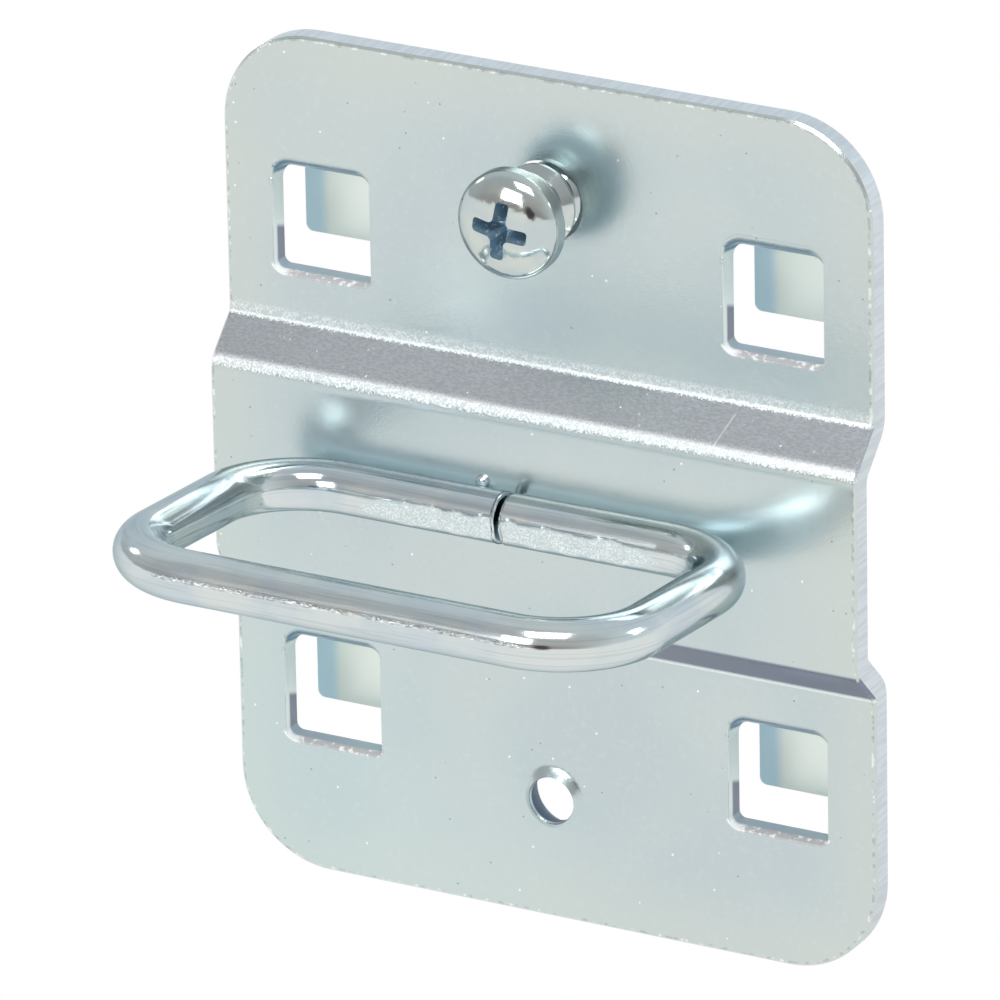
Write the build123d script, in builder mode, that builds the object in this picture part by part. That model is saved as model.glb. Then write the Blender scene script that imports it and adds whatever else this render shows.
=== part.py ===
from build123d import *
from math import cos, radians, sin, tan
import os

# Pliers holder that hangs in the square holes of a perforated tool panel.
# Millimetres. X runs across the plate, Z is up and the front faces -Y. The panel's face is the plane
# y = 0, and the origin is the middle of the four hooks on it.

# raster of the panel, which places the hooks
pitch_x = 38.0
pitch_z = 38.0

# back plate, a stepped sheet
sheet = 2.0
plate_width = 54.4
plate_height = 67.4
plate_centre_z = -0.85
corner_radius = 7.5
band_step = 3.0
band_height = 15.0
step_angle = 45.0
step_bend_radius = 0.75
arris_break = 0.2

# hooks lanced out of the sheet, measured from their own raster points
hook_width = 8.2
hook_gap = 2.9
hook_bend_radius = 1.0
hook_shelf_above = 3.0
hook_tip_below = 3.6
hook_tip_radius = 0.6
hook_root = 0.2
window_below = 5.0
window_top_radius = 1.2
window_bottom_radius = 0.6
roll_share = 0.8
roll_entry_angle = 12.0
roll_corner_growth = 0.7
edge_roll = 0.3
roll_sections = 4

# round holes in the sheet, each as far from its end of the plate
hole_inset = 9.75
lower_hole_diameter = 3.9
hole_roll_width = 0.7
hole_roll_depth = 0.6
thread_clearance = 0.08

# clamp screw, with its size over the thread
thread_diameter = 6.3
shank_length = 5.6
tip_chamfer = 0.6
head_diameter = 8.4
head_rim = 1.15
head_crown = 1.9
head_back_break = 0.3
head_standoff = 4.1
recess_span = 4.5
recess_arm = 1.1
recess_depth = 1.9
recess_taper = 14.0
recess_turn = -8.0

# wire loop, welded to the band
wire_diameter = 4.0
loop_width = 45.0
loop_depth = 28.0
loop_inner_radius = 5.0
loop_tilt = 4.0
loop_x = -0.9
loop_z = -0.47
end_gap = 0.35
end_break = 0.3
weld_sink = 0.15

# The step is drawn along the middle of the sheet: flat, slant, band, slant, flat.
plate_top = plate_centre_z + plate_height / 2
plate_bottom = plate_centre_z - plate_height / 2
screw_z = plate_top - hole_inset
lower_hole_z = plate_bottom + hole_inset
lower_hole_radius = lower_hole_diameter / 2
front_face = -sheet
hole_roll_back = front_face + hole_roll_depth
band_face = front_face - band_step
sheet_middle = -sheet / 2
band_middle = sheet_middle - band_step
step_run = band_step / tan(radians(step_angle))
band_upper = plate_centre_z + band_height / 2
band_lower = plate_centre_z - band_height / 2

# A hook is bent back over the top of its window, runs on as a short shelf and turns down behind the panel.
hook_columns = (-pitch_x / 2, pitch_x / 2)
hook_rows = (-pitch_z / 2, pitch_z / 2)
hook_middle = hook_gap + sheet / 2
shelf_middle = hook_shelf_above + sheet / 2
hook_middle_radius = hook_bend_radius + sheet / 2
hook_places = [(x, 0, z) for x in hook_columns for z in hook_rows]
roll_depth = roll_share * sheet
roll_radius = roll_depth / cos(radians(roll_entry_angle))
roll_back = sheet - roll_depth

with BuildPart() as hook:
    with BuildSketch(Plane.YZ) as hook_section:
        with BuildLine():
            FilletPolyline(
                (-hook_root, shelf_middle),
                (hook_middle, shelf_middle),
                (hook_middle, -hook_tip_below),
                radius=hook_middle_radius,
            )
        trace(line_width=sheet)
    extrude(amount=hook_width / 2, both=True)
    tip_corners = hook.edges().filter_by(Axis.Y).group_by(Axis.Z)[0]
    fillet(tip_corners, radius=hook_tip_radius)

# The punch draws the sheet in round the window: far over at the top, where the hook is bent back, and
# only a little along the sides and the bottom. The sections go from the front face to the end of the roll.
with BuildPart() as window_roll:
    for step in range(roll_sections + 1):
        turn = radians(roll_entry_angle + (90 - roll_entry_angle) * step / roll_sections)
        left_over = 1 - sin(turn)
        section_top = hook_shelf_above + roll_radius * left_over
        section_bottom = -window_below - edge_roll * left_over
        section_width = hook_width + 2 * edge_roll * left_over
        with BuildSketch(Plane.XZ.offset(roll_back + roll_radius * cos(turn))) as section:
            with Locations((0, (section_top + section_bottom) / 2)):
                Rectangle(section_width, section_top - section_bottom)
            upper_corners = section.vertices().group_by(Axis.Y)[-1]
            fillet(upper_corners, radius=window_top_radius + roll_corner_growth * left_over)
            lower_corners = section.vertices().group_by(Axis.Y)[0]
            fillet(lower_corners, radius=window_bottom_radius + edge_roll * left_over)
    loft()

with BuildSketch() as window_outline:
    with Locations((0, (hook_shelf_above - window_below) / 2)):
        Rectangle(hook_width, hook_shelf_above + window_below)
    fillet(window_outline.vertices().group_by(Axis.Y)[-1], radius=window_top_radius)
    fillet(window_outline.vertices().group_by(Axis.Y)[0], radius=window_bottom_radius)

with BuildPart() as back_plate:
    with BuildSketch(Plane.YZ) as step_section:
        with BuildLine():
            FilletPolyline(
                (sheet_middle, plate_top),
                (sheet_middle, band_upper + step_run),
                (band_middle, band_upper),
                (band_middle, band_lower),
                (sheet_middle, band_lower - step_run),
                (sheet_middle, plate_bottom),
                radius=step_bend_radius + sheet / 2,
            )
        trace(line_width=sheet)
    extrude(amount=plate_width / 2, both=True)
    across = back_plate.edges().filter_by(Axis.Y)
    fillet(across.group_by(Axis.Z)[0] + across.group_by(Axis.Z)[-1], radius=corner_radius)
    # the blanked outline: sides, ends and rounded corners, with both arrises broken
    rounded = back_plate.faces().filter_by(GeomType.CYLINDER)
    corners = rounded.filter_by(lambda f: abs(f.radius - corner_radius) < 1e-3)
    ends = back_plate.faces().sort_by(Axis.Z)
    sides = back_plate.faces().sort_by(Axis.X)
    outline = corners + [ends[0], ends[-1], sides[0], sides[-1]]
    arrises = ShapeList(e for f in outline for e in f.edges()).filter_by(Axis.Y, reverse=True)
    chamfer(arrises, length=arris_break)
    # the windows: the drawn-in edge first, then the opening through the rest of the sheet
    with Locations(hook_places):
        add(window_roll.part, mode=Mode.SUBTRACT)
    with BuildSketch(Plane.XZ) as windows:
        with GridLocations(pitch_x, pitch_z, 2, 2):
            add(window_outline.sketch)
    extrude(amount=roll_back, mode=Mode.SUBTRACT)
    with Locations(hook_places):
        add(hook.part)
    # the lower hole, with the edge that its punch drew in, and the hole that the screw is turned through
    with BuildSketch(Plane.XY.offset(lower_hole_z)) as punch_section:
        with BuildLine():
            Polyline(
                (lower_hole_radius, hole_roll_back),
                (lower_hole_radius, 0),
                (0, 0),
                (0, front_face),
                (lower_hole_radius + hole_roll_width, front_face),
            )
            EllipticalCenterArc(
                (lower_hole_radius + hole_roll_width, hole_roll_back),
                hole_roll_width,
                hole_roll_depth,
                start_angle=180,
                arc_size=90,
            )
        make_face()
    revolve(axis=Axis((0, 0, lower_hole_z), (0, 1, 0)), mode=Mode.SUBTRACT)
    with Locations(Plane((0, front_face, screw_z), x_dir=(1, 0, 0), z_dir=(0, -1, 0))):
        Hole(thread_diameter / 2 + thread_clearance, depth=sheet)
back_plate.part.label = "back_plate"

# The wire's back bar is pressed a little flat where it is welded to the band.
wire_radius = wire_diameter / 2
loop_across = loop_width - wire_diameter
loop_out = loop_depth - wire_diameter
loop_bar_y = band_face - wire_radius + weld_sink
loop_plane = Plane((loop_x, loop_bar_y, loop_z), x_dir=(1, 0, 0)).rotated((-loop_tilt, 0, 0))

with BuildPart() as wire_loop:
    with BuildLine(loop_plane) as loop_path:
        FilletPolyline(
            (end_gap / 2, 0),
            (loop_across / 2, 0),
            (loop_across / 2, -loop_out),
            (-loop_across / 2, -loop_out),
            (-loop_across / 2, 0),
            (-end_gap / 2, 0),
            radius=loop_inner_radius + wire_radius,
        )
    with BuildSketch(loop_path.line ^ 0):
        Circle(wire_radius)
    sweep()
    wire_ends = wire_loop.edges().filter_by(GeomType.CIRCLE).filter_by(
        lambda e: abs(e.center().X - loop_x) < end_gap
    )
    chamfer(wire_ends, length=end_break)
    split(bisect_by=Plane((0, band_face, 0), x_dir=(1, 0, 0), z_dir=(0, -1, 0)), keep=Keep.TOP)
wire_loop.part.label = "wire_loop"

# The screw stands out of the plate by its standoff, as it does before it is turned in.
head_back = front_face - head_standoff
head_shoulder = head_back - head_rim
head_front = head_shoulder - head_crown
tip = head_back + shank_length
head_radius = head_diameter / 2
thread_radius = thread_diameter / 2
screw_axis = Axis((0, 0, screw_z), (0, 1, 0))
recess_plane = Plane((0, head_front, screw_z), x_dir=(1, 0, 0), z_dir=(0, -1, 0))

with BuildPart() as clamp_screw:
    with BuildSketch(Plane.XY.offset(screw_z)) as screw_section:
        with BuildLine():
            Polyline(
                (0, head_front),
                (0, tip),
                (thread_radius - tip_chamfer, tip),
                (thread_radius, tip - tip_chamfer),
                (thread_radius, head_back),
                (head_radius - head_back_break, head_back),
                (head_radius, head_back - head_back_break),
                (head_radius, head_shoulder),
            )
            EllipticalCenterArc((0, head_shoulder), head_radius, head_crown, start_angle=270, arc_size=90)
        make_face()
    revolve(axis=screw_axis)
    with BuildSketch(recess_plane) as recess:
        Rectangle(recess_span, recess_arm, rotation=recess_turn)
        Rectangle(recess_arm, recess_span, rotation=recess_turn)
    extrude(amount=-recess_depth, taper=recess_taper, mode=Mode.SUBTRACT)
clamp_screw.part.label = "clamp_screw"

os.makedirs("parts", exist_ok=True)
export_step(back_plate.part, "parts/back_plate.step")
export_step(wire_loop.part, "parts/wire_loop.step")
export_step(clamp_screw.part, "parts/clamp_screw.step")
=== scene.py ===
from functools import partial
from math import copysign, cos, pi, radians, sin, sqrt

import bmesh
import bpy
from mathutils import Matrix, Vector, noise


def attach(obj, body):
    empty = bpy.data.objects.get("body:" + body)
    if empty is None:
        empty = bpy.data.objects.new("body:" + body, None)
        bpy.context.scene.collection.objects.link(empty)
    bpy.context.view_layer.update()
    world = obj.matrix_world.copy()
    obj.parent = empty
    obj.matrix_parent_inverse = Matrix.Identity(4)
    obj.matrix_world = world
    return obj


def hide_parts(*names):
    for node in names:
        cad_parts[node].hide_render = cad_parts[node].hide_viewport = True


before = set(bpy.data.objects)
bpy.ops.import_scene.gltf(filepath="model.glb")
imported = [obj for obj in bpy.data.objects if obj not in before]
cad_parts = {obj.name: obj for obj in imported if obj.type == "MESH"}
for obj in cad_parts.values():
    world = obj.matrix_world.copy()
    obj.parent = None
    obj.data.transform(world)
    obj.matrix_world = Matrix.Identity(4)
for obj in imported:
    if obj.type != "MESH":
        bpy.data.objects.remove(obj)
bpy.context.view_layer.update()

# Back plate: one blank of 2 mm cold-rolled steel, pressed into a step and with four hooks lanced out
# of it, then zinc plated. It hangs by the hooks in a perforated panel and carries the other pieces.
mm = 0.001
raster_half = 19.0 * mm
front_face = -2.0 * mm
plate_width = 54.4 * mm
plate_height = 67.4 * mm
plate_centre_z = -0.85 * mm
corner_radius = 7.5 * mm
window_width = 8.2 * mm
window_height = 8.0 * mm
window_drop = 1.0 * mm
window_corner = 0.9 * mm
flare_back = -0.35 * mm
flare_most = 0.4 * mm
flare_kept = 0.3
wall_top = 1.8 * mm
wall_end = 2.9 * mm
wall_foot = -4.0 * mm
breakout = 0.25 * mm
burr_radius = 0.24 * mm
burr_above = 1.95 * mm
burr_form = (0.8, 0.5, 1.2)
hole_middle = Vector((0, 0, -24.8)) * mm
hole_radius = 1.95 * mm
hole_roll = 0.7 * mm
hole_roll_back = -1.4 * mm
collar_reach = 2.95 * mm
collar_lip = 1.8 * mm
collar_height = 0.6 * mm
collar_rounding = 0.34 * mm
collar_steps = 10
bore_mouth = (2.55 * mm, 2.7 * mm)
tiny = 0.01 * mm
merge_within = 0.001 * mm
soft_angle = radians(28)


def linear(hex_colour):
    """An sRGB hex colour as linear red, green, blue and alpha."""
    channels = [int(hex_colour[i:i + 2], 16) / 255 for i in (1, 3, 5)]
    return [c / 12.92 if c <= 0.04045 else ((c + 0.055) / 1.055) ** 2.4 for c in channels] + [1.0]


def add_node(tree, kind, inputs=None, output=0, **settings):
    """Adds a node with its settings and gives one of its outputs; an input is a value or an output."""
    made = tree.nodes.new("ShaderNode" + kind)
    for name, value in settings.items():
        setattr(made, name, value)
    for socket, value in (inputs or {}).items():
        if isinstance(value, bpy.types.NodeSocket):
            tree.links.new(value, made.inputs[socket])
        else:
            made.inputs[socket].default_value = value
    return made.outputs[output] if made.outputs else made


# Sockets go by number. In Map Range 0 is the value, 1 and 2 are where it starts and ends, and 4 is the
# most it gives. In Mix 0 is the share, and 6 and 7 are the two colours.
eased = {"interpolation_type": "SMOOTHSTEP"}


def overlap(add, first, *others):
    """The overlap of several masks, as one mask."""
    shared = first
    for mask in others:
        shared = add("Math", {0: shared, 1: mask}, operation="MULTIPLY")
    return shared


def between(add, value, rise, fall, most=1.0):
    """A mask over a stretch of a value, with a fade at each end that is given from outside to inside."""
    fade_in = add("MapRange", {0: value, 1: rise[0], 2: rise[1]}, **eased)
    fade_out = add("MapRange", {0: value, 1: fall[0], 2: fall[1], 4: most}, **eased)
    return overlap(add, fade_in, fade_out)


def off_corners(add, place, inset):
    """How far a place lies outside a box about the origin, so that its corners come out round."""
    off = add("VectorMath", {0: place}, operation="ABSOLUTE")
    off = add("VectorMath", {0: off, 1: inset}, operation="SUBTRACT")
    off = add("VectorMath", {0: off, 1: (0, 0, 0)}, operation="MAXIMUM")
    return add("VectorMath", {0: off}, 1, operation="LENGTH")


def new_metal(name):
    """A metallic material, with what adds its nodes, what links them and its shader's sockets."""
    metal = bpy.data.materials.new(name)
    metal.use_nodes = True
    tree = metal.node_tree
    sockets = tree.nodes["Principled BSDF"].inputs
    sockets["Metallic"].default_value = 1.0
    return metal, partial(add_node, tree), tree.links.new, sockets


def place_piece(shape, name, metals, body, node):
    """Makes the mesh a piece of those metals, riding on that body in place of that CAD node."""
    mesh = bpy.data.meshes.new(name)
    shape.to_mesh(mesh)
    shape.free()
    for metal in metals:
        mesh.materials.append(metal)
    piece = bpy.data.objects.new(name, mesh)
    bpy.context.scene.collection.objects.link(piece)
    even = piece.modifiers.new("even_faces", "WEIGHTED_NORMAL")
    even.keep_sharp = True
    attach(piece, body)
    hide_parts(node)


def soften(shape):
    """Shades the mesh smooth, apart from its sharp edges."""
    for face in shape.faces:
        face.smooth = True
    for edge in shape.edges:
        edge.smooth = edge.is_manifold and edge.calc_face_angle() < soft_angle


def draw_on(shape, ring):
    """Draws an open ring of edges on by one ring of faces; gives the new ring and its points."""
    drawn = bmesh.ops.extrude_edge_only(shape, edges=ring)["geom"]
    points = [g for g in drawn if isinstance(g, bmesh.types.BMVert)]
    ring = [g for g in drawn if isinstance(g, bmesh.types.BMEdge) and len(g.link_faces) == 1]
    return ring, points


def off_hole(point):
    """How far a point lies from the lower hole's axis."""
    return (point.co.xz - hole_middle.xz).length


plate = bmesh.new()
plate.from_mesh(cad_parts["back_plate"].data)
bmesh.ops.remove_doubles(plate, verts=plate.verts, dist=merge_within)
# the sides of the windows are sheared nearly straight, so their drawn edge is brought in; at the back
# the sheet broke out a little wider
for point in plate.verts:
    aside = point.co.x - copysign(raster_half, point.co.x)
    rise = point.co.z - copysign(raster_half, point.co.z)
    past = abs(aside) - window_width / 2
    if 0 < past < flare_most and point.co.y < flare_back:
        point.co.x -= copysign(past * (1 - flare_kept), aside)
    in_window = past < tiny and -window_height < rise < wall_end
    if in_window and abs(point.co.y) < tiny:
        share = min(1.0, (wall_end - rise) / (wall_end - wall_top))
        point.co.x += copysign(breakout * share, aside)
        if rise < wall_foot:
            point.co.z -= breakout
# the lower hole was pushed through from behind: wider at the back, with a low flared collar in front
drawn_in = [
    f for f in plate.faces
    if all(off_hole(v) < hole_radius + hole_roll + tiny and v.co.y < hole_roll_back + tiny for v in f.verts)
]
bmesh.ops.delete(plate, geom=drawn_in, context="FACES")
open_edges = [e for e in plate.edges if e.is_boundary and off_hole(e.verts[0]) < collar_reach]
bore_ring = [e for e in open_edges if off_hole(e.verts[0]) < hole_radius + tiny]
ring = [e for e in open_edges if e not in bore_ring]
about_hole = Matrix.Translation(-hole_middle)
back_points = [v for v in plate.verts if off_hole(v) < hole_radius + tiny and v.co.y > -tiny]
widen = [half / hole_radius for half in bore_mouth]
bmesh.ops.scale(plate, verts=back_points, vec=(widen[0], 1, widen[1]), space=about_hole)
points = list({v for e in ring for v in e.verts})
radius = hole_radius + hole_roll
height = 0.0
for step in range(collar_steps + 1):
    if step > 0:
        ring, points = draw_on(plate, ring)
    share = step / collar_steps
    new_radius = collar_reach + (collar_lip - collar_reach) * share
    new_height = collar_height * (1 - cos(share * pi / 2))
    grow = new_radius / radius
    bmesh.ops.scale(plate, verts=points, vec=(grow, 1, grow), space=about_hole)
    bmesh.ops.translate(plate, verts=points, vec=(0, height - new_height, 0))
    radius = new_radius
    height = new_height
bmesh.ops.bridge_loops(plate, edges=ring + bore_ring)
bmesh.ops.bevel(
    plate, geom=ring, offset=collar_rounding, offset_type="OFFSET", segments=4, profile=0.5,
    affect="EDGES", material=-1,
)
bmesh.ops.recalc_face_normals(plate, faces=plate.faces)
# a small burr beside each window, where the punch stopped drawing the sheet in
for column in (-raster_half, raster_half):
    for row in (-raster_half, raster_half):
        spot = Vector((column - window_width / 2 - burr_radius / 2, front_face, row + burr_above))
        form = Matrix.Translation(spot) @ Matrix.Diagonal((*burr_form, 1.0))
        bmesh.ops.create_icosphere(plate, subdivisions=3, radius=burr_radius, matrix=form)
soften(plate)

# Blue-passivated zinc on rolled sheet: a satin metal of an even cold blue, with a breath of cream at
# the edges and sea green low on the left, fine pits and bright grains. The grains of the plating are
# finer than this on the real sheet, and are drawn as coarse as they need to be to show.
cloud_size = 19 * mm
mottle_size = 0.45 * mm
pit_spacing = 1.7 * mm
spark_spacing = 2.4 * mm
torn_grain = 0.15 * mm
drag_grain = 0.16 * mm
chip_spacing = 0.7 * mm
chip_patch = 5 * mm
dash_length = 0.7 * mm
shear_streak = 0.35 * mm
breath_size = 6 * mm
fine_grain = 0.16 * mm
relief_height = 0.02 * mm
upper_slant = ((6.9 * mm, 7.3 * mm), (10.0 * mm, 9.9 * mm))
lower_slant = ((-11.7 * mm, -11.5 * mm), (-8.9 * mm, -9.3 * mm))
upper_bend = ((9.85 * mm, 10.05 * mm), (11.2 * mm, 10.6 * mm), 0.6)
lower_bend = ((6.6 * mm, 6.8 * mm), (7.7 * mm, 7.1 * mm), 0.9)
bend_ragged = 0.8 * mm
crease_highlights = ((9.97 * mm, 0.42), (-11.85 * mm, 0.6))
arris_band = ((-0.4 * mm, -0.33 * mm), (-0.1 * mm, -0.2 * mm))
scratch_foot = Vector((15.17, 0, 7.01)) * mm
scratch_head = Vector((16.28, 0, 9.66)) * mm
scratch_fade = 0.5 * mm
# far more than the plate's depth, so that y plays no part in a distance across its face
any_depth = 1.0

sheet_zinc, add, link, sockets = new_metal("satin_zinc_sheet")
place = add("TexCoord", output="Object")
x, y, z = add("SeparateXYZ", {0: place}).node.outputs
facing = add("SeparateXYZ", {0: add("TexCoord", output="Normal")}).node.outputs[1]
front_side = add("MapRange", {0: facing, 1: -0.2, 2: -0.5}, **eased)

# how far a point is outside the plate's outline, good to one corner radius within it
plate_inset = (plate_width / 2 - corner_radius, any_depth, plate_height / 2 - corner_radius)
centred = add("VectorMath", {0: place, 1: (0, 0, plate_centre_z)}, operation="SUBTRACT")
edge = add("Math", {0: off_corners(add, centred, plate_inset), 1: corner_radius}, operation="SUBTRACT")

# the same for the nearest window, with the places across and above its raster point
x_sign, z_sign = [add("Math", {0: part}, operation="SIGN") for part in (x, z)]
across = add("Math", {0: x_sign, 1: -raster_half, 2: x}, operation="MULTIPLY_ADD")
above = add("Math", {0: z_sign, 1: -raster_half, 2: z}, operation="MULTIPLY_ADD")
window_inset = (window_width / 2 - window_corner, any_depth, window_height / 2 - window_corner)
centred = add("CombineXYZ", {0: across, 2: add("Math", {0: above, 1: window_drop}, operation="ADD")})
off_window = off_corners(add, centred, window_inset)
off_window = add("Math", {0: off_window, 1: window_corner}, operation="SUBTRACT")
near_window = add("MapRange", {0: off_window, 1: 0.5 * mm, 2: 0.35 * mm}, **eased)

# the rolled face, and over it a list of layers, each a mask and a colour
cloud = add("TexNoise", {"Vector": place, "Scale": 1 / cloud_size, "Detail": 2.0})
cloud = add("MapRange", {0: cloud, 1: 0.4, 2: 0.65}, **eased)
colour = add("Mix", {0: cloud, 6: linear("#C5D1D3"), 7: linear("#CCD6D5")}, 2, data_type="RGBA")
cream = add("MapRange", {0: edge, 1: -7 * mm, 2: -0.5 * mm, 4: 0.5}, **eased)
lower_left = add("Math", {0: x, 1: z}, operation="ADD")
sea_green = add("MapRange", {0: lower_left, 1: -15 * mm, 2: -50 * mm, 4: 0.4}, **eased)
mottle = add("TexNoise", {"Vector": place, "Scale": 1 / mottle_size, "Detail": 4.0})
frost = add("MapRange", {0: mottle, 1: 0.5, 2: 0.75, 4: 0.14}, **eased)
pit = add("TexVoronoi", {"Vector": place, "Scale": 1 / pit_spacing})
pit = add("MapRange", {0: pit, 1: 0.06, 2: 0.035, 4: 0.5}, **eased)
spark = add("TexVoronoi", {"Vector": place, "Scale": 1 / spark_spacing})
spark = add("MapRange", {0: spark, 1: 0.055, 2: 0.03, 4: 0.9}, **eased)
layers = [
    (cream, linear("#D6DBD3")),
    (sea_green, linear("#CAE0E0")),
    (frost, linear("#DCE8EA")),
    (pit, linear("#7C868E")),
    (spark, linear("#FFFFFF")),
]

# the upper slant, where the press dragged the sheet to a fine dull grain, with bright chips in places
torn = add("TexNoise", {"Vector": place, "Scale": 1 / torn_grain, "Detail": 4.0})
drag = add("VectorMath", {0: place, 1: (0.5, 1, 1)}, operation="MULTIPLY")
drag = add("TexNoise", {"Vector": drag, "Scale": 1 / drag_grain, "Detail": 3.0})
dull = overlap(add, between(add, z, *upper_slant), front_side)
grain_and_glint = add("MapRange", {0: drag, 1: 0.35, 2: 0.65}, **eased)
grey = add("Mix", {0: grain_and_glint, 6: linear("#C0C4C7"), 7: linear("#CFD3D6")}, 2, data_type="RGBA")
chip = add("TexVoronoi", {"Vector": place, "Scale": 1 / chip_spacing})
chip = add("MapRange", {0: chip, 1: 0.2, 2: 0.1}, **eased)
chipped = add("TexNoise", {"Vector": place, "Scale": 1 / chip_patch, "Detail": 1.0})
chipped = add("MapRange", {0: chipped, 1: 0.55, 2: 0.65, 4: 0.8}, **eased)
chip = overlap(add, chip, chipped)
grey = add("Mix", {0: chip, 6: grey, 7: linear("#F4F8F9")}, 2, data_type="RGBA")
layers.append((dull, grey))

# one long scratch across that slant
lean = (scratch_head.x - scratch_foot.x) / (scratch_head.z - scratch_foot.z)
line = add("Math", {0: z, 1: lean, 2: scratch_foot.x - lean * scratch_foot.z}, operation="MULTIPLY_ADD")
off_line = add("Math", {0: x, 1: line}, operation="SUBTRACT")
off_line = add("Math", {0: off_line}, operation="ABSOLUTE")
scratch = add("MapRange", {0: off_line, 1: 0.1 * mm, 2: 0.05 * mm, 4: 0.9}, **eased)
fade_in = (scratch_foot.z, scratch_foot.z + scratch_fade)
fade_out = (scratch_head.z, scratch_head.z - scratch_fade)
scratch = overlap(add, scratch, between(add, z, fade_in, fade_out))
layers.append((scratch, linear("#EEF2F4")))

# its two bends, where the stretched plating broke into bright grains that scatter the light; the white
# flakes also stand for painted glints
ragged = add("Math", {0: torn, 1: bend_ragged, 2: -bend_ragged / 2}, operation="MULTIPLY_ADD")
ragged_height = add("Math", {0: z, 1: ragged}, operation="ADD")
flake = add("MapRange", {0: torn, 1: 0.45, 2: 0.61}, **eased)
bends = 0.0
for bend in (lower_bend, upper_bend):
    bends = add("Math", {0: bends, 1: between(add, ragged_height, *bend)}, operation="MAXIMUM")
grains_and_highlights = overlap(add, bends, flake)
# a painted highlight: a thin bright line where the upper slant ends, and one below the lower slant
for crease_height, share in crease_highlights:
    off_crease = add("Math", {0: z, 1: crease_height}, operation="SUBTRACT")
    off_crease = add("Math", {0: off_crease}, operation="ABSOLUTE")
    crease_highlight = add("MapRange", {0: off_crease, 1: 0.12 * mm, 2: 0.05 * mm, 4: share}, **eased)
    grains_and_highlights = add("Math", {0: grains_and_highlights, 1: crease_highlight}, operation="MAXIMUM")
grains_and_highlights = overlap(add, grains_and_highlights, front_side)
layers.append((grains_and_highlights, linear("#F7FBFC")))

# the lower slant, turned to the floor: painted shade and reflection, brown to purple, darker to the right
under_shade = overlap(add, between(add, z, *lower_slant), front_side)
to_right = add("MapRange", {0: x, 1: -10 * mm, 2: 20 * mm}, **eased)
purple_shade = add("Mix", {0: to_right, 6: linear("#B2A3A6"), 7: linear("#80869A")}, 2, data_type="RGBA")
layers.append((under_shade, purple_shade))

# the arris of the outline, its burr painted as short dark and bright dashes of shade and highlight
dash = add("TexNoise", {"Vector": place, "Scale": 1 / dash_length, "Detail": 3.0})
arris = between(add, edge, *arris_band)
dark_marks_and_shade = add("MapRange", {0: dash, 1: 0.46, 2: 0.38, 4: 0.35}, **eased)
bright_dash_highlight = add("MapRange", {0: dash, 1: 0.56, 2: 0.64, 4: 0.6}, **eased)
layers.append((overlap(add, arris, dark_marks_and_shade), linear("#8B8F8E")))
layers.append((overlap(add, arris, bright_dash_highlight), linear("#FFFFFF")))

# sheared faces: bluish white, streaked through the sheet
sheared = add("Math", {0: facing}, operation="ABSOLUTE")
sheared = add("MapRange", {0: sheared, 1: 0.5, 2: 0.35}, **eased)
through = add("VectorMath", {0: place, 1: (1, 0.08, 1)}, operation="MULTIPLY")
through = add("TexNoise", {"Vector": through, "Scale": 1 / shear_streak, "Detail": 3.0})
through = add("MapRange", {0: through, 1: 0.35, 2: 0.65}, **eased)
steel = add("Mix", {0: through, 6: linear("#D0D7DB"), 7: linear("#DBE2E6")}, 2, data_type="RGBA")
layers.append((sheared, steel))

# the walls of the windows: nearly white, with painted shade, grey low on the left wall and slate at the foot
in_sheet = add("MapRange", {0: y, 1: 0.05 * mm, 2: -0.1 * mm}, **eased)
walled = overlap(add, near_window, in_sheet, sheared)
low_wall_shade = add("Math", {0: y, 1: 0.35, 2: above}, operation="MULTIPLY_ADD")
low_wall_shade = add("MapRange", {0: low_wall_shade, 1: -2.0 * mm, 2: -2.5 * mm}, **eased)
left_wall = add("MapRange", {0: across, 1: 1.0 * mm, 2: -1.0 * mm}, **eased)
low_wall_shade = overlap(add, low_wall_shade, left_wall)
foot_shade = add("MapRange", {0: above, 1: -4.4 * mm, 2: -4.7 * mm}, **eased)
wall_zinc_and_shade = add("Mix", {0: low_wall_shade, 6: linear("#F0FAF8"), 7: linear("#8F95A4")}, 2, data_type="RGBA")
wall_zinc_and_shade = add("Mix", {0: foot_shade, 6: wall_zinc_and_shade, 7: linear("#A6B5BE")}, 2, data_type="RGBA")
layers.append((walled, wall_zinc_and_shade))

# the lower hole: painted shade, dark slate, in the neck of its collar and down the wider bore behind it
off_axis = add("VectorMath", {0: place, 1: hole_middle}, operation="SUBTRACT")
off_axis = add("VectorMath", {0: off_axis, 1: (1, 0, 1)}, operation="MULTIPLY")
off_axis = add("VectorMath", {0: off_axis}, 1, operation="LENGTH")
in_neck = add("MapRange", {0: off_axis, 1: 2.06 * mm, 2: 1.98 * mm}, **eased)
past_lip = add("MapRange", {0: y, 1: -2.3 * mm, 2: -2.15 * mm}, **eased)
in_bore = add("MapRange", {0: off_axis, 1: 3.0 * mm, 2: 2.9 * mm}, **eased)
past_neck = add("MapRange", {0: y, 1: -1.75 * mm, 2: -1.55 * mm}, **eased)
neck_shade = overlap(add, in_neck, sheared, past_lip)
bore_shade = overlap(add, in_bore, in_sheet, past_neck)
bore_shade = add("Math", {0: bore_shade, 1: neck_shade}, operation="MAXIMUM")
layers.append((bore_shade, linear("#586E80")))

# the sheet rolls over into the hook above each window, with a deeper blue painted as shade along the roll
over_top = add("MapRange", {0: above, 1: 2.3 * mm, 2: 2.7 * mm}, **eased)
rolled_in = add("MapRange", {0: y, 1: -1.97 * mm, 2: -1.6 * mm}, **eased)
by_window = add("MapRange", {0: off_window, 1: 2.2 * mm, 2: 1.8 * mm}, **eased)
layers.append((overlap(add, rolled_in, in_sheet, over_top, by_window), linear("#7391A3")))

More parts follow.
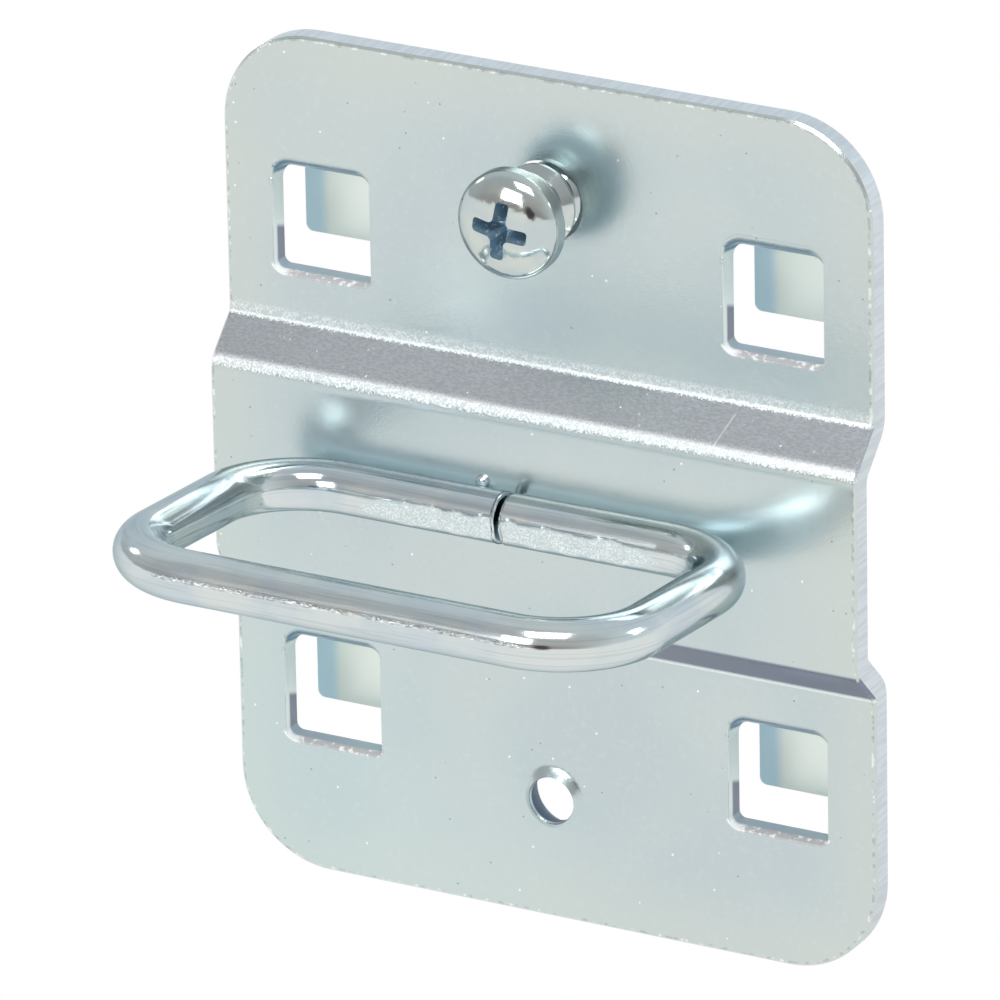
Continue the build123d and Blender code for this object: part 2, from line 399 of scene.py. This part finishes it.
# the front of the hooks behind: a painted shade of blue at the left, cream over the rest
past_sheet = add("MapRange", {0: y, 1: 0.4 * mm, 2: 0.8 * mm}, **eased)
hook_front = overlap(add, past_sheet, front_side)
past_left = add("MapRange", {0: across, 1: -3.0 * mm, 2: -1.9 * mm}, **eased)
hook_zinc_and_shade = add("Mix", {0: past_left, 6: linear("#CBE3EF"), 7: linear("#E9F1EA")}, 2, data_type="RGBA")
layers.append((hook_front, hook_zinc_and_shade))

# the torn lip below each window, with bright grains and a painted highlight at its left end
below = add("MapRange", {0: above, 1: -4.5 * mm, 2: -4.8 * mm}, **eased)
outer_half = add("MapRange", {0: y, 1: -1.3 * mm, 2: -1.6 * mm}, **eased)
lip = overlap(add, near_window, below, outer_half)
lip_grain_and_highlight = add("MapRange", {0: mottle, 1: 0.5, 2: 0.68}, **eased)
lip_end_highlight = add("MapRange", {0: across, 1: -2.6 * mm, 2: -3.4 * mm}, **eased)
lip_grain_and_highlight = add("Math", {0: lip_grain_and_highlight, 1: lip_end_highlight}, operation="MAXIMUM")
lip_zinc = add("Mix", {0: lip_grain_and_highlight, 6: linear("#BAB9BA"), 7: linear("#F4F4F3")}, 2, data_type="RGBA")
layers.append((lip, lip_zinc))

# a painted highlight: a pale arris down the left wall of each window
at_left = add("MapRange", {0: across, 1: -3.9 * mm, 2: -4.05 * mm}, **eased)
down = add("MapRange", {0: above, 1: 1.9 * mm, 2: 1.2 * mm}, **eased)
off_face = add("MapRange", {0: y, 1: -1.99 * mm, 2: -1.95 * mm}, **eased)
flank_highlight = overlap(add, near_window, at_left, outer_half, down, off_face)
layers.append((flank_highlight, linear("#EEF5F4")))
for mask, finish in layers:
    colour = add("Mix", {0: mask, 6: colour, 7: finish}, 2, data_type="RGBA")
link(colour, sockets["Base Color"])

# torn zinc and the walls scatter more light than they mirror
scattering = overlap(add, walled, 0.6)
for mask in (grains_and_highlights, lip, flank_highlight):
    scattering = add("Math", {0: scattering, 1: mask}, operation="MAXIMUM")
link(add("Math", {0: scattering, 1: -0.75, 2: 1.0}, operation="MULTIPLY_ADD"), sockets["Metallic"])

# satin, rougher where the sheet is dragged, torn or sheared
breath = add("TexNoise", {"Vector": place, "Scale": 1 / breath_size})
rough = add("Math", {0: breath, 1: 0.08, 2: 0.21}, operation="MULTIPLY_ADD")
for mask, more in ((sheared, 0.3), (bends, 0.15), (hook_front, 0.12)):
    rough = add("Math", {0: mask, 1: more, 2: rough}, operation="MULTIPLY_ADD")
link(rough, sockets["Roughness"])
fine = add("TexNoise", {"Vector": place, "Scale": 1 / fine_grain, "Detail": 2.0})
torn_height = 0.0
for mask, more in ((dull, 0.4), (bends, 1.2), (lip, 0.4)):
    torn_height = add("Math", {0: mask, 1: more, 2: torn_height}, operation="MULTIPLY_ADD")
relief = 0.0
for pattern, more in ((fine, 0.45), (pit, -1.0), (torn, torn_height), (overlap(add, drag, dull), 0.35)):
    relief = add("Math", {0: pattern, 1: more, 2: relief}, operation="MULTIPLY_ADD")
link(add("Bump", {"Strength": 1.0, "Distance": relief_height, "Height": relief}), sockets["Normal"])

place_piece(plate, "plate_sheet", [sheet_zinc], "holder", "back_plate")

# Wire loop: one length of 4 mm drawn steel wire, bent round until its ends meet in the middle of the
# back bar, where it is pressed against the band and resistance welded. Bright zinc plated.
wire_radius = 2.0 * mm
loop_across = 41.0 * mm
loop_out = 24.0 * mm
loop_bend = 7.0 * mm
loop_tilt = radians(4)
loop_centre = Vector((-0.9, -6.85, -0.47)) * mm
end_gap = 0.35 * mm
end_rounding = 0.3 * mm
round_steps = 64
bend_steps = 28
back_steps = 90
side_steps = 4
front_steps = 6
crush_reach = (-11.5 * mm, 13.6 * mm)
crush_fade = 3.0 * mm
crush_way = Vector((0, -cos(radians(16)), -sin(radians(16))))
crush_depth = 0.2 * mm
crush_rough = 0.14 * mm
crush_grain = 1.1 * mm
crush_finer = 3
bar_reach = wire_radius * 1.01
spatter_spot = Vector((-3.93, -5.1, 1.31)) * mm
spatter_radius = 0.55 * mm
spatter_form = (1.0, 0.7, 0.9)


def run_on(shape, ring, way, steps):
    """Draws the open end of the wire on along a vector, in that many rings."""
    for _ in range(steps):
        ring, points = draw_on(shape, ring)
        bmesh.ops.translate(shape, verts=points, vec=way / steps)
    return ring


def bend_on(shape, ring, centre):
    """Bends the open end of the wire a quarter turn round a centre, clockwise from above."""
    turned = bmesh.ops.spin(
        shape, geom=ring, cent=centre, axis=(0, 0, -1), angle=pi / 2, steps=bend_steps, use_duplicate=False
    )["geom_last"]
    return [g for g in turned if isinstance(g, bmesh.types.BMEdge)]


# the right half, from the middle of the back bar to the middle of the front one, and its mirror image
wire = bmesh.new()
start = Matrix.Translation((end_gap / 2, 0, 0)) @ Matrix.Rotation(pi / 2, 4, "Y")
bmesh.ops.create_circle(wire, cap_ends=False, radius=wire_radius, segments=round_steps, matrix=start)
first_ring = list(wire.edges)
bend_x = loop_across / 2 - loop_bend
ring = run_on(wire, first_ring, Vector((bend_x - end_gap / 2, 0, 0)), back_steps)
ring = bend_on(wire, ring, (bend_x, -loop_bend, 0))
ring = run_on(wire, ring, Vector((0, 2 * loop_bend - loop_out, 0)), side_steps)
ring = bend_on(wire, ring, (bend_x, loop_bend - loop_out, 0))
run_on(wire, ring, Vector((-bend_x, 0, 0)), front_steps)
bmesh.ops.contextual_create(wire, geom=first_ring)
bmesh.ops.bevel(
    wire, geom=first_ring, offset=end_rounding, offset_type="OFFSET", segments=4, profile=0.5,
    affect="EDGES", material=-1,
)
right_half = wire.verts[:] + wire.edges[:] + wire.faces[:]
bmesh.ops.mirror(wire, geom=right_half, axis="X", merge_dist=merge_within)
bmesh.ops.remove_doubles(wire, verts=wire.verts, dist=merge_within)
bmesh.ops.recalc_face_normals(wire, faces=wire.faces)
# the welding electrode crushed the front of the back bar to a ragged flat
crushed = wire.verts.layers.float.new("crushed")
for point in wire.verts:
    if abs(point.co.y) < bar_reach and crush_reach[0] < point.co.x < crush_reach[1]:
        pressed = crush_depth + crush_rough * noise.noise(point.co / crush_grain)
        pressed += crush_rough * noise.noise(point.co * crush_finer / crush_grain) / crush_finer
        to_end = min(point.co.x - crush_reach[0], crush_reach[1] - point.co.x)
        pressed *= min(1.0, to_end / crush_fade)
        over = point.co.dot(crush_way) - (wire_radius - pressed)
        if over > 0:
            point.co -= crush_way * over
            point[crushed] = 1.0
wire_place = Matrix.Translation(loop_centre) @ Matrix.Rotation(-loop_tilt, 4, "X")
bmesh.ops.transform(wire, matrix=wire_place, verts=wire.verts)
# a drop of spatter from the weld, fast on the band
drop = Matrix.Translation(spatter_spot) @ Matrix.Diagonal((*spatter_form, 1.0))
bmesh.ops.create_icosphere(wire, subdivisions=4, radius=spatter_radius, matrix=drop)
for face in wire.faces:
    face.smooth = True

# Bright zinc on drawn wire: close to a mirror, blue where it turns away, with faint lengthwise die
# streaks, small scuffs along the front with painted glints and shade, and a frosted bright grain where it
# was crushed.
wire_patch = 5 * mm
die_streak = 0.25 * mm
scuff_width = 0.15 * mm
ice_grain = 0.14 * mm
streak_height = 0.01 * mm
glancing_blue = linear("#C0CCD1")
wire_zinc, add, link, sockets = new_metal("bright_zinc_wire")
sockets["Specular Tint"].default_value = glancing_blue
place = add("TexCoord", output="Object")
_, facing, upward = add("SeparateXYZ", {0: add("TexCoord", output="Normal")}).node.outputs
patch = add("TexNoise", {"Vector": place, "Scale": 1 / wire_patch, "Detail": 3.0})
patch = add("MapRange", {0: patch, 1: 0.4, 2: 0.65}, **eased)
colour = add("Mix", {0: patch, 6: linear("#CCD6DA"), 7: linear("#D8DEDC")}, 2, data_type="RGBA")

# towards the plate, where little current reached it, the plating is thinner, duller and bluer
shadowed = add("MapRange", {0: facing, 1: 0.1, 2: 0.6}, **eased)

# the die streaks follow the wire, by the distance from the middle of the loop's rounded corners
flat = add("VectorMath", {0: place, 1: loop_centre}, operation="SUBTRACT")
flat = add("Mapping", {"Vector": flat, "Rotation": (loop_tilt, 0, 0)})
sideways, outwards, over_flat = add("SeparateXYZ", {0: flat}).node.outputs
loop_inset = (loop_across / 2 - loop_bend, loop_out / 2 - loop_bend, 0)
off_middle = add("Math", {0: outwards, 1: loop_out / 2}, operation="ADD")
off_bend = off_corners(add, add("CombineXYZ", {0: sideways, 1: off_middle}), loop_inset)
along = add("Math", {0: sideways, 1: outwards}, operation="SUBTRACT")
lengthwise = add("CombineXYZ", {0: off_bend, 1: over_flat, 2: along})
streak = add("VectorMath", {0: lengthwise, 1: (1, 1, 0.03)}, operation="MULTIPLY")
streak = add("TexNoise", {"Vector": streak, "Scale": 1 / die_streak, "Detail": 3.0})
streaked = add("MapRange", {0: streak, 1: 0.5, 2: 0.35, 4: 0.25}, **eased)

# scuffs along the front: torn bright specks over dark ones, laid on the band that mirrors the horizon, so
# that they are partly painted glints and shade
scuff = add("VectorMath", {0: lengthwise, 1: (1, 1, 0.4)}, operation="MULTIPLY")
scuff = add("TexNoise", {"Vector": scuff, "Scale": 1 / scuff_width, "Detail": 3.0})
foremost = add("MapRange", {0: facing, 1: -0.93, 2: -0.965}, **eased)
turned_up = add("MapRange", {0: upward, 1: 0.14, 2: 0.22}, **eased)
front_bar = add("MapRange", {0: outwards, 1: -17 * mm, 2: -21 * mm}, **eased)
scuff_and_glint_band = overlap(add, foremost, turned_up, front_bar)
dark_marks_and_shade = overlap(add, add("MapRange", {0: scuff, 1: 0.5, 2: 0.4, 4: 0.5}, **eased), scuff_and_glint_band)
speck_and_glint = overlap(add, add("MapRange", {0: scuff, 1: 0.58, 2: 0.64}, **eased), scuff_and_glint_band)

# the crushed flat: a frost of fine bright grains
frost = add("Attribute", output="Fac", attribute_name="crushed")
ice = add("TexNoise", {"Vector": place, "Scale": 1 / ice_grain, "Detail": 4.0})
ice_bright = add("MapRange", {0: ice, 1: 0.44, 2: 0.64}, **eased)
ice_zinc = add("Mix", {0: ice_bright, 6: linear("#CFDADA"), 7: linear("#EEF5F5")}, 2, data_type="RGBA")
layers = (
    (shadowed, linear("#E0EEF5")),
    (streaked, linear("#A9AEB0")),
    (dark_marks_and_shade, linear("#7A7270")),
    (speck_and_glint, linear("#FFFFFF")),
    (frost, ice_zinc),
)
for mask, finish in layers:
    colour = add("Mix", {0: mask, 6: colour, 7: finish}, 2, data_type="RGBA")
link(colour, sockets["Base Color"])

# grains, specks and the dull side scatter more light than they mirror
scattering = overlap(add, frost, ice_bright, 0.5)
scattering = add("Math", {0: scattering, 1: speck_and_glint}, operation="MAXIMUM")
scattering = add("Math", {0: shadowed, 1: 0.8, 2: scattering}, operation="MULTIPLY_ADD", use_clamp=True)
link(add("Math", {0: scattering, 1: -0.8, 2: 1.0}, operation="MULTIPLY_ADD"), sockets["Metallic"])
rough = add("Math", {0: streak, 1: 0.12, 2: 0.06}, operation="MULTIPLY_ADD")
rough = add("Math", {0: frost, 1: 0.22, 2: rough}, operation="MULTIPLY_ADD")
link(rough, sockets["Roughness"])
relief = streak
for pattern, more in ((dark_marks_and_shade, -1.5), (overlap(add, ice, frost), 3.0)):
    relief = add("Math", {0: pattern, 1: more, 2: relief}, operation="MULTIPLY_ADD")
link(add("Bump", {"Strength": 1.0, "Distance": streak_height, "Height": relief}), sockets["Normal"])

place_piece(wire, "wire_bent", [wire_zinc], "holder", "wire_loop")

# Clamp screw: a pan-head steel screw with a coarse rolled thread and a cross recess, zinc plated.
# It is turned through the plate from the front and locks the holder on the panel.
screw_back = Vector((0, -6.1, 23.1)) * mm
head_radius = 4.2 * mm
head_rim = 1.15 * mm
head_crown = 1.9 * mm
back_break = 0.3 * mm
crown_steps = 20
recess_half_span = 2.25 * mm
recess_half_arm = 0.55 * mm
recess_depth = 1.9 * mm
recess_taper = 0.42 * mm
recess_least = 0.05 * mm
recess_web = 0.42 * mm
recess_corner = 0.3 * mm
recess_turn = radians(-8)
dome_radius = 3.0 * mm
dome_rings = 9
head_steps = 72
thread_radius = 3.15 * mm
thread_root = 2.45 * mm
thread_pitch = 1.9 * mm
thread_turns = 5
thread_steps = 48
thread_sink = 0.1 * mm
shank_length = 5.6 * mm
tip_taper = 0.6 * mm


def crown_height(radius):
    """Height of the domed front above the back of the head."""
    return head_rim + head_crown * sqrt(max(0.0, 1 - (radius / head_radius) ** 2))


# the recess: a cross of five squares joined to one face, its corners rounded, pushed in and drawn small
screw = bmesh.new()
bmesh.ops.create_grid(screw, x_segments=3, y_segments=3, size=1)
for point in screw.verts:
    for axis in (0, 1):
        half = recess_half_span if abs(point.co[axis]) > 0.5 else recess_half_arm
        point.co[axis] = copysign(half, point.co[axis])
beside_arms = [
    f for f in screw.faces
    if min(abs(f.calc_center_median().x), abs(f.calc_center_median().y)) > recess_half_arm
]
bmesh.ops.delete(screw, geom=beside_arms, context="FACES")
bmesh.ops.dissolve_faces(screw, faces=screw.faces[:])
webs = [v for v in screw.verts if max(abs(v.co.x), abs(v.co.y)) < recess_half_span / 2]
tips = [v for v in screw.verts if v not in webs]
for corners, rounding in ((tips, recess_corner), (webs, recess_web)):
    bmesh.ops.bevel(
        screw, geom=corners, offset=rounding, offset_type="OFFSET", segments=5, profile=0.5,
        affect="VERTICES", material=-1,
    )
for point in screw.verts:
    point.co.z = crown_height(point.co.length)
mouth = screw.faces[:]
floor_parts = bmesh.ops.extrude_face_region(screw, geom=mouth)["geom"]
bmesh.ops.delete(screw, geom=mouth, context="FACES_ONLY")
for point in (g for g in floor_parts if isinstance(g, bmesh.types.BMVert)):
    for axis in (0, 1):
        half = max(abs(point.co[axis]) - recess_taper, recess_least)
        point.co[axis] = copysign(half, point.co[axis])
    point.co.z = head_rim + head_crown - recess_depth
recess = set(screw.faces)
bmesh.ops.rotate(screw, verts=screw.verts, cent=(0, 0, 0), matrix=Matrix.Rotation(recess_turn, 3, "Z"))

# the head: its side and crown spun round the axis, and the crown's middle bridged to the recess
profile = [(0, 0), (head_radius - back_break, 0), (head_radius, back_break)]
for step in range(crown_steps + 1):
    radius = head_radius * cos(step / crown_steps * pi / 2)
    if radius > dome_radius:
        profile.append((radius, crown_height(radius)))
profile.append((dome_radius, crown_height(dome_radius)))
points = [screw.verts.new((radius, 0, height)) for radius, height in profile]
section = [screw.edges.new(pair) for pair in zip(points, points[1:])]
bmesh.ops.spin(
    screw, geom=points + section, cent=(0, 0, 0), axis=(0, 0, 1), angle=2 * pi, steps=head_steps,
    use_merge=True,
)
bmesh.ops.remove_doubles(screw, verts=screw.verts, dist=merge_within)
dome = bmesh.ops.bridge_loops(screw, edges=[e for e in screw.edges if e.is_boundary])["edges"]
rings = bmesh.ops.subdivide_edges(screw, edges=dome, cuts=dome_rings, use_grid_fill=False)["geom_inner"]
for point in (g for g in rings if isinstance(g, bmesh.types.BMVert)):
    point.co.z = crown_height(point.co.to_2d().length)
for face in screw.faces:
    face.material_index = int(face in recess)

# the thread: one turn's profile spun down the axis, cut off square behind the head and at the tip
thread = bmesh.new()
turn_profile = (
    (thread_root, 0),
    (thread_root, 0.34),
    (thread_radius, 0.6),
    (thread_radius, 0.74),
    (thread_root, 1),
)
points = [
    thread.verts.new((radius, 0, thread_sink + thread_pitch - share * thread_pitch))
    for radius, share in turn_profile
]
section = [thread.edges.new(pair) for pair in zip(points, points[1:])]
bmesh.ops.spin(
    thread, geom=points + section, cent=(0, 0, 0), axis=(0, 0, 1), dvec=(0, 0, -thread_pitch / thread_steps),
    angle=2 * pi * thread_turns, steps=thread_steps * thread_turns,
)
bmesh.ops.remove_doubles(thread, verts=thread.verts, dist=merge_within)
for cut_height, outer_side in ((thread_sink, 1), (-shank_length, -1)):
    everything = thread.verts[:] + thread.edges[:] + thread.faces[:]
    cut = bmesh.ops.bisect_plane(
        thread, geom=everything, plane_co=(0, 0, cut_height), plane_no=(0, 0, outer_side), clear_outer=True
    )["geom_cut"]
    bmesh.ops.edgeloop_fill(thread, edges=[g for g in cut if isinstance(g, bmesh.types.BMEdge)])
for point in thread.verts:
    past = max(0.0, tip_taper - shank_length - point.co.z)
    point.co.xy *= 1 - past / thread_radius
bmesh.ops.recalc_face_normals(thread, faces=thread.faces)
spare = bpy.data.meshes.new("thread")
thread.to_mesh(spare)
thread.free()
screw.from_mesh(spare)
bpy.data.meshes.remove(spare)
bmesh.ops.recalc_face_normals(screw, faces=screw.faces)
screw_place = Matrix.Translation(screw_back) @ Matrix.Rotation(pi / 2, 4, "X")
bmesh.ops.transform(screw, matrix=screw_place, verts=screw.verts)
soften(screw)

# Bright zinc on a headed and rolled screw: close to a mirror, with faint rub marks, and duller and
# bluer behind the head, towards the plate.
screw_patch = 3 * mm
rub_size = 0.5 * mm
rub_height = 0.008 * mm
screw_zinc, add, link, sockets = new_metal("bright_zinc_screw")
sockets["Specular Tint"].default_value = glancing_blue
place = add("TexCoord", output="Object")
patch = add("TexNoise", {"Vector": place, "Scale": 1 / screw_patch, "Detail": 3.0})
patch = add("MapRange", {0: patch, 1: 0.4, 2: 0.65}, **eased)
colour = add("Mix", {0: patch, 6: linear("#C3CDCE"), 7: linear("#D0D6D0")}, 2, data_type="RGBA")
facing = add("SeparateXYZ", {0: add("TexCoord", output="Normal")}).node.outputs[1]
behind = add("SeparateXYZ", {0: place}).node.outputs[1]
turned_back = add("MapRange", {0: facing, 1: 0.1, 2: 0.6}, **eased)
near_head = add("MapRange", {0: behind, 1: -4.5 * mm, 2: -5.5 * mm}, **eased)
shadowed = overlap(add, turned_back, near_head)
colour = add("Mix", {0: shadowed, 6: colour, 7: linear("#E0F0F8")}, 2, data_type="RGBA")
link(colour, sockets["Base Color"])
link(add("Math", {0: shadowed, 1: -0.8, 2: 1.0}, operation="MULTIPLY_ADD"), sockets["Metallic"])
rub = add("TexNoise", {"Vector": place, "Scale": 1 / rub_size, "Detail": 4.0})
rough = add("Math", {0: rub, 1: 0.1, 2: 0.06}, operation="MULTIPLY_ADD")
link(rough, sockets["Roughness"])
link(add("Bump", {"Strength": 1.0, "Distance": rub_height, "Height": rub}), sockets["Normal"])

# The same zinc deep in the recess, where the plating is thin, painted a darker dull blue for shade, with a
# few bright grains that also stand for glints.
dent_size = 0.35 * mm
dent_height = 0.05 * mm
recess_shade_zinc, add, link, sockets = new_metal("recess_zinc_painted_shade")
sockets["Metallic"].default_value = 0.7
sockets["Roughness"].default_value = 0.22
place = add("TexCoord", output="Object")
dent = add("TexNoise", {"Vector": place, "Scale": 1 / dent_size, "Detail": 3.0})
grain_and_glint = add("MapRange", {0: dent, 1: 0.58, 2: 0.66}, **eased)
colour = add("Mix", {0: grain_and_glint, 6: linear("#93AEBD"), 7: linear("#EEF6F9")}, 2, data_type="RGBA")
link(colour, sockets["Base Color"])
link(add("Bump", {"Strength": 1.0, "Distance": dent_height, "Height": dent}), sockets["Normal"])

place_piece(screw, "screw_turned", [screw_zinc, recess_shade_zinc], "screw", "clamp_screw")

# Studio: a pale floor well below the holder, a grey room that is white along the horizon and pale blue
# at the back, with a dark stand in front; soft boxes above, in front and at both sides.
floor_drop = 0.25
floor_half = 6.0
stand_way = (0.235, -0.965, 0.12)
stand_edge = (0.985, 0.994)
horizon_edge = (0.09, 0.06)
side_sharpness = 6.0
room_bands = (
    (0.0, "#8E8A88"),
    (0.04, "#A09C9A"),
    (0.14, "#BDBCBC"),
    (0.38, "#C0C4C7"),
    (0.5, "#D3DADE"),
    (0.79, "#DDE5EA"),
    (0.96, "#F2F6F9"),
)
floor_mesh = bpy.data.meshes.new("floor")
ground = bmesh.new()
floor_place = Matrix.Translation((0, 0, -floor_drop))
bmesh.ops.create_grid(ground, x_segments=1, y_segments=1, size=floor_half, matrix=floor_place)
ground.to_mesh(floor_mesh)
ground.free()
floor = bpy.data.objects.new("floor", floor_mesh)
bpy.context.scene.collection.objects.link(floor)
floor_white = bpy.data.materials.new("pale_floor")
floor_white.use_nodes = True
floor_white.node_tree.nodes.clear()
add = partial(add_node, floor_white.node_tree)
ray = add("LightPath").node.outputs
seen = add("Math", {0: ray["Is Camera Ray"], 1: ray["Is Glossy Ray"]}, operation="MAXIMUM")
seen = add("Math", {0: seen, 1: ray["Is Transmission Ray"]}, operation="MAXIMUM")
paint = add("BsdfDiffuse", {"Color": linear("#F4F4F2")})
glow = add("Emission", {"Color": linear("#FFFFFF"), "Strength": 1.0})
add("OutputMaterial", {0: add("MixShader", {0: seen, 1: paint, 2: glow})})
floor_mesh.materials.append(floor_white)

# the room's colour runs in bands from the front over the top to the back, with plainer walls at the sides
room = bpy.data.worlds.new("studio_room")
room.use_nodes = True
room.node_tree.nodes.clear()
bpy.context.scene.world = room
add = partial(add_node, room.node_tree)
way = add("TexCoord", output="Generated")
rightward, backward, skyward = add("SeparateXYZ", {0: way}).node.outputs
forward = add("Math", {0: backward, 1: -1.0}, operation="MULTIPLY")
sweep = add("Math", {0: skyward, 1: forward}, operation="ARCTAN2")
room_wall = add("ValToRGB", {0: add("Math", {0: sweep, 1: pi}, operation="DIVIDE")})
bands = room_wall.node.color_ramp.elements
for stop, (share, shade) in enumerate(room_bands):
    band = bands[0] if stop == 0 else bands.new(share)
    band.position = share
    band.color = linear(shade)
bands.remove(bands[len(bands) - 1])
at_side = add("Math", {0: rightward}, operation="ABSOLUTE")
at_side = add("Math", {0: at_side, 1: side_sharpness}, operation="POWER")
at_right = add("MapRange", {0: rightward, 1: -0.2, 2: 0.2})
side_wall = add("Mix", {0: at_right, 6: linear("#C3C5C7"), 7: linear("#DFE6E9")}, 2, data_type="RGBA")
horizon = add("MapRange", {0: skyward, 1: horizon_edge[0], 2: horizon_edge[1]}, **eased)
stand = add("VectorMath", {0: way, 1: stand_way}, 1, operation="DOT_PRODUCT")
stand = add("MapRange", {0: stand, 1: stand_edge[0], 2: stand_edge[1]}, **eased)
stand = overlap(add, stand, add("LightPath", output="Is Glossy Ray"))
sky = room_wall
for mask, finish in ((at_side, side_wall), (horizon, linear("#FFFFFF")), (stand, linear("#4A3D3B"))):
    sky = add("Mix", {0: mask, 6: sky, 7: finish}, 2, data_type="RGBA")
add("OutputWorld", {0: add("Background", {"Color": sky, "Strength": 1.0})})

# each soft box: where it hangs, facing the holder, its width and depth, and its power in watts
soft_boxes = {
    "soft_box_above": (Vector((0.15, -0.5, 0.853)), 0.5, 0.35, 5.6),
    "soft_box_front": (Vector((-0.18, -0.887, 0.428)), 0.46, 0.36, 2.15),
    "soft_box_right": (Vector((0.81, 0.34, 0.42)), 0.2, 0.2, 0.7),
    "soft_box_left": (Vector((-0.9, 0.1, 0.42)), 0.16, 0.16, 0.35),
}
for name, (spot, width, depth, power) in soft_boxes.items():
    lamp = bpy.data.lights.new(name, "AREA")
    lamp.shape = "RECTANGLE"
    lamp.size = width
    lamp.size_y = depth
    lamp.energy = power
    box = bpy.data.objects.new(name, lamp)
    box.location = spot
    box.rotation_euler = (-spot).to_track_quat("-Z", "Y").to_euler()
    bpy.context.scene.collection.objects.link(box)

# Camera: a long lens nearly a metre away, to the front right of the holder and above it, rolled by
# about a degree, as the photograph was taken.
camera_azimuth = radians(29.14)
camera_elevation = radians(21.97)
camera_roll = radians(1.10)
camera_target = Vector((-5.30, 0, -2.27)) * mm
camera_distance = 910.8 * mm
camera_focus = 12.176
level_out = cos(camera_elevation)
view_back = Vector(
    (sin(camera_azimuth) * level_out, -cos(camera_azimuth) * level_out, sin(camera_elevation))
)
view_right = Vector((cos(camera_azimuth), sin(camera_azimuth), 0))
view_up = view_back.cross(view_right)
rolled_right = view_right * cos(camera_roll) - view_up * sin(camera_roll)
rolled_up = view_right * sin(camera_roll) + view_up * cos(camera_roll)
lens = bpy.data.cameras.new("camera")
lens.sensor_width = 36.0
lens.lens = lens.sensor_width * camera_focus
lens.clip_start = 0.05
lens.clip_end = 30.0
camera = bpy.data.objects.new("camera", lens)
camera_turn = Matrix((rolled_right, rolled_up, view_back)).transposed().to_4x4()
camera.matrix_world = Matrix.Translation(camera_target + view_back * camera_distance) @ camera_turn
bpy.context.scene.collection.objects.link(camera)
bpy.context.scene.camera = camera
bpy.context.scene.view_settings.view_transform = "Standard"
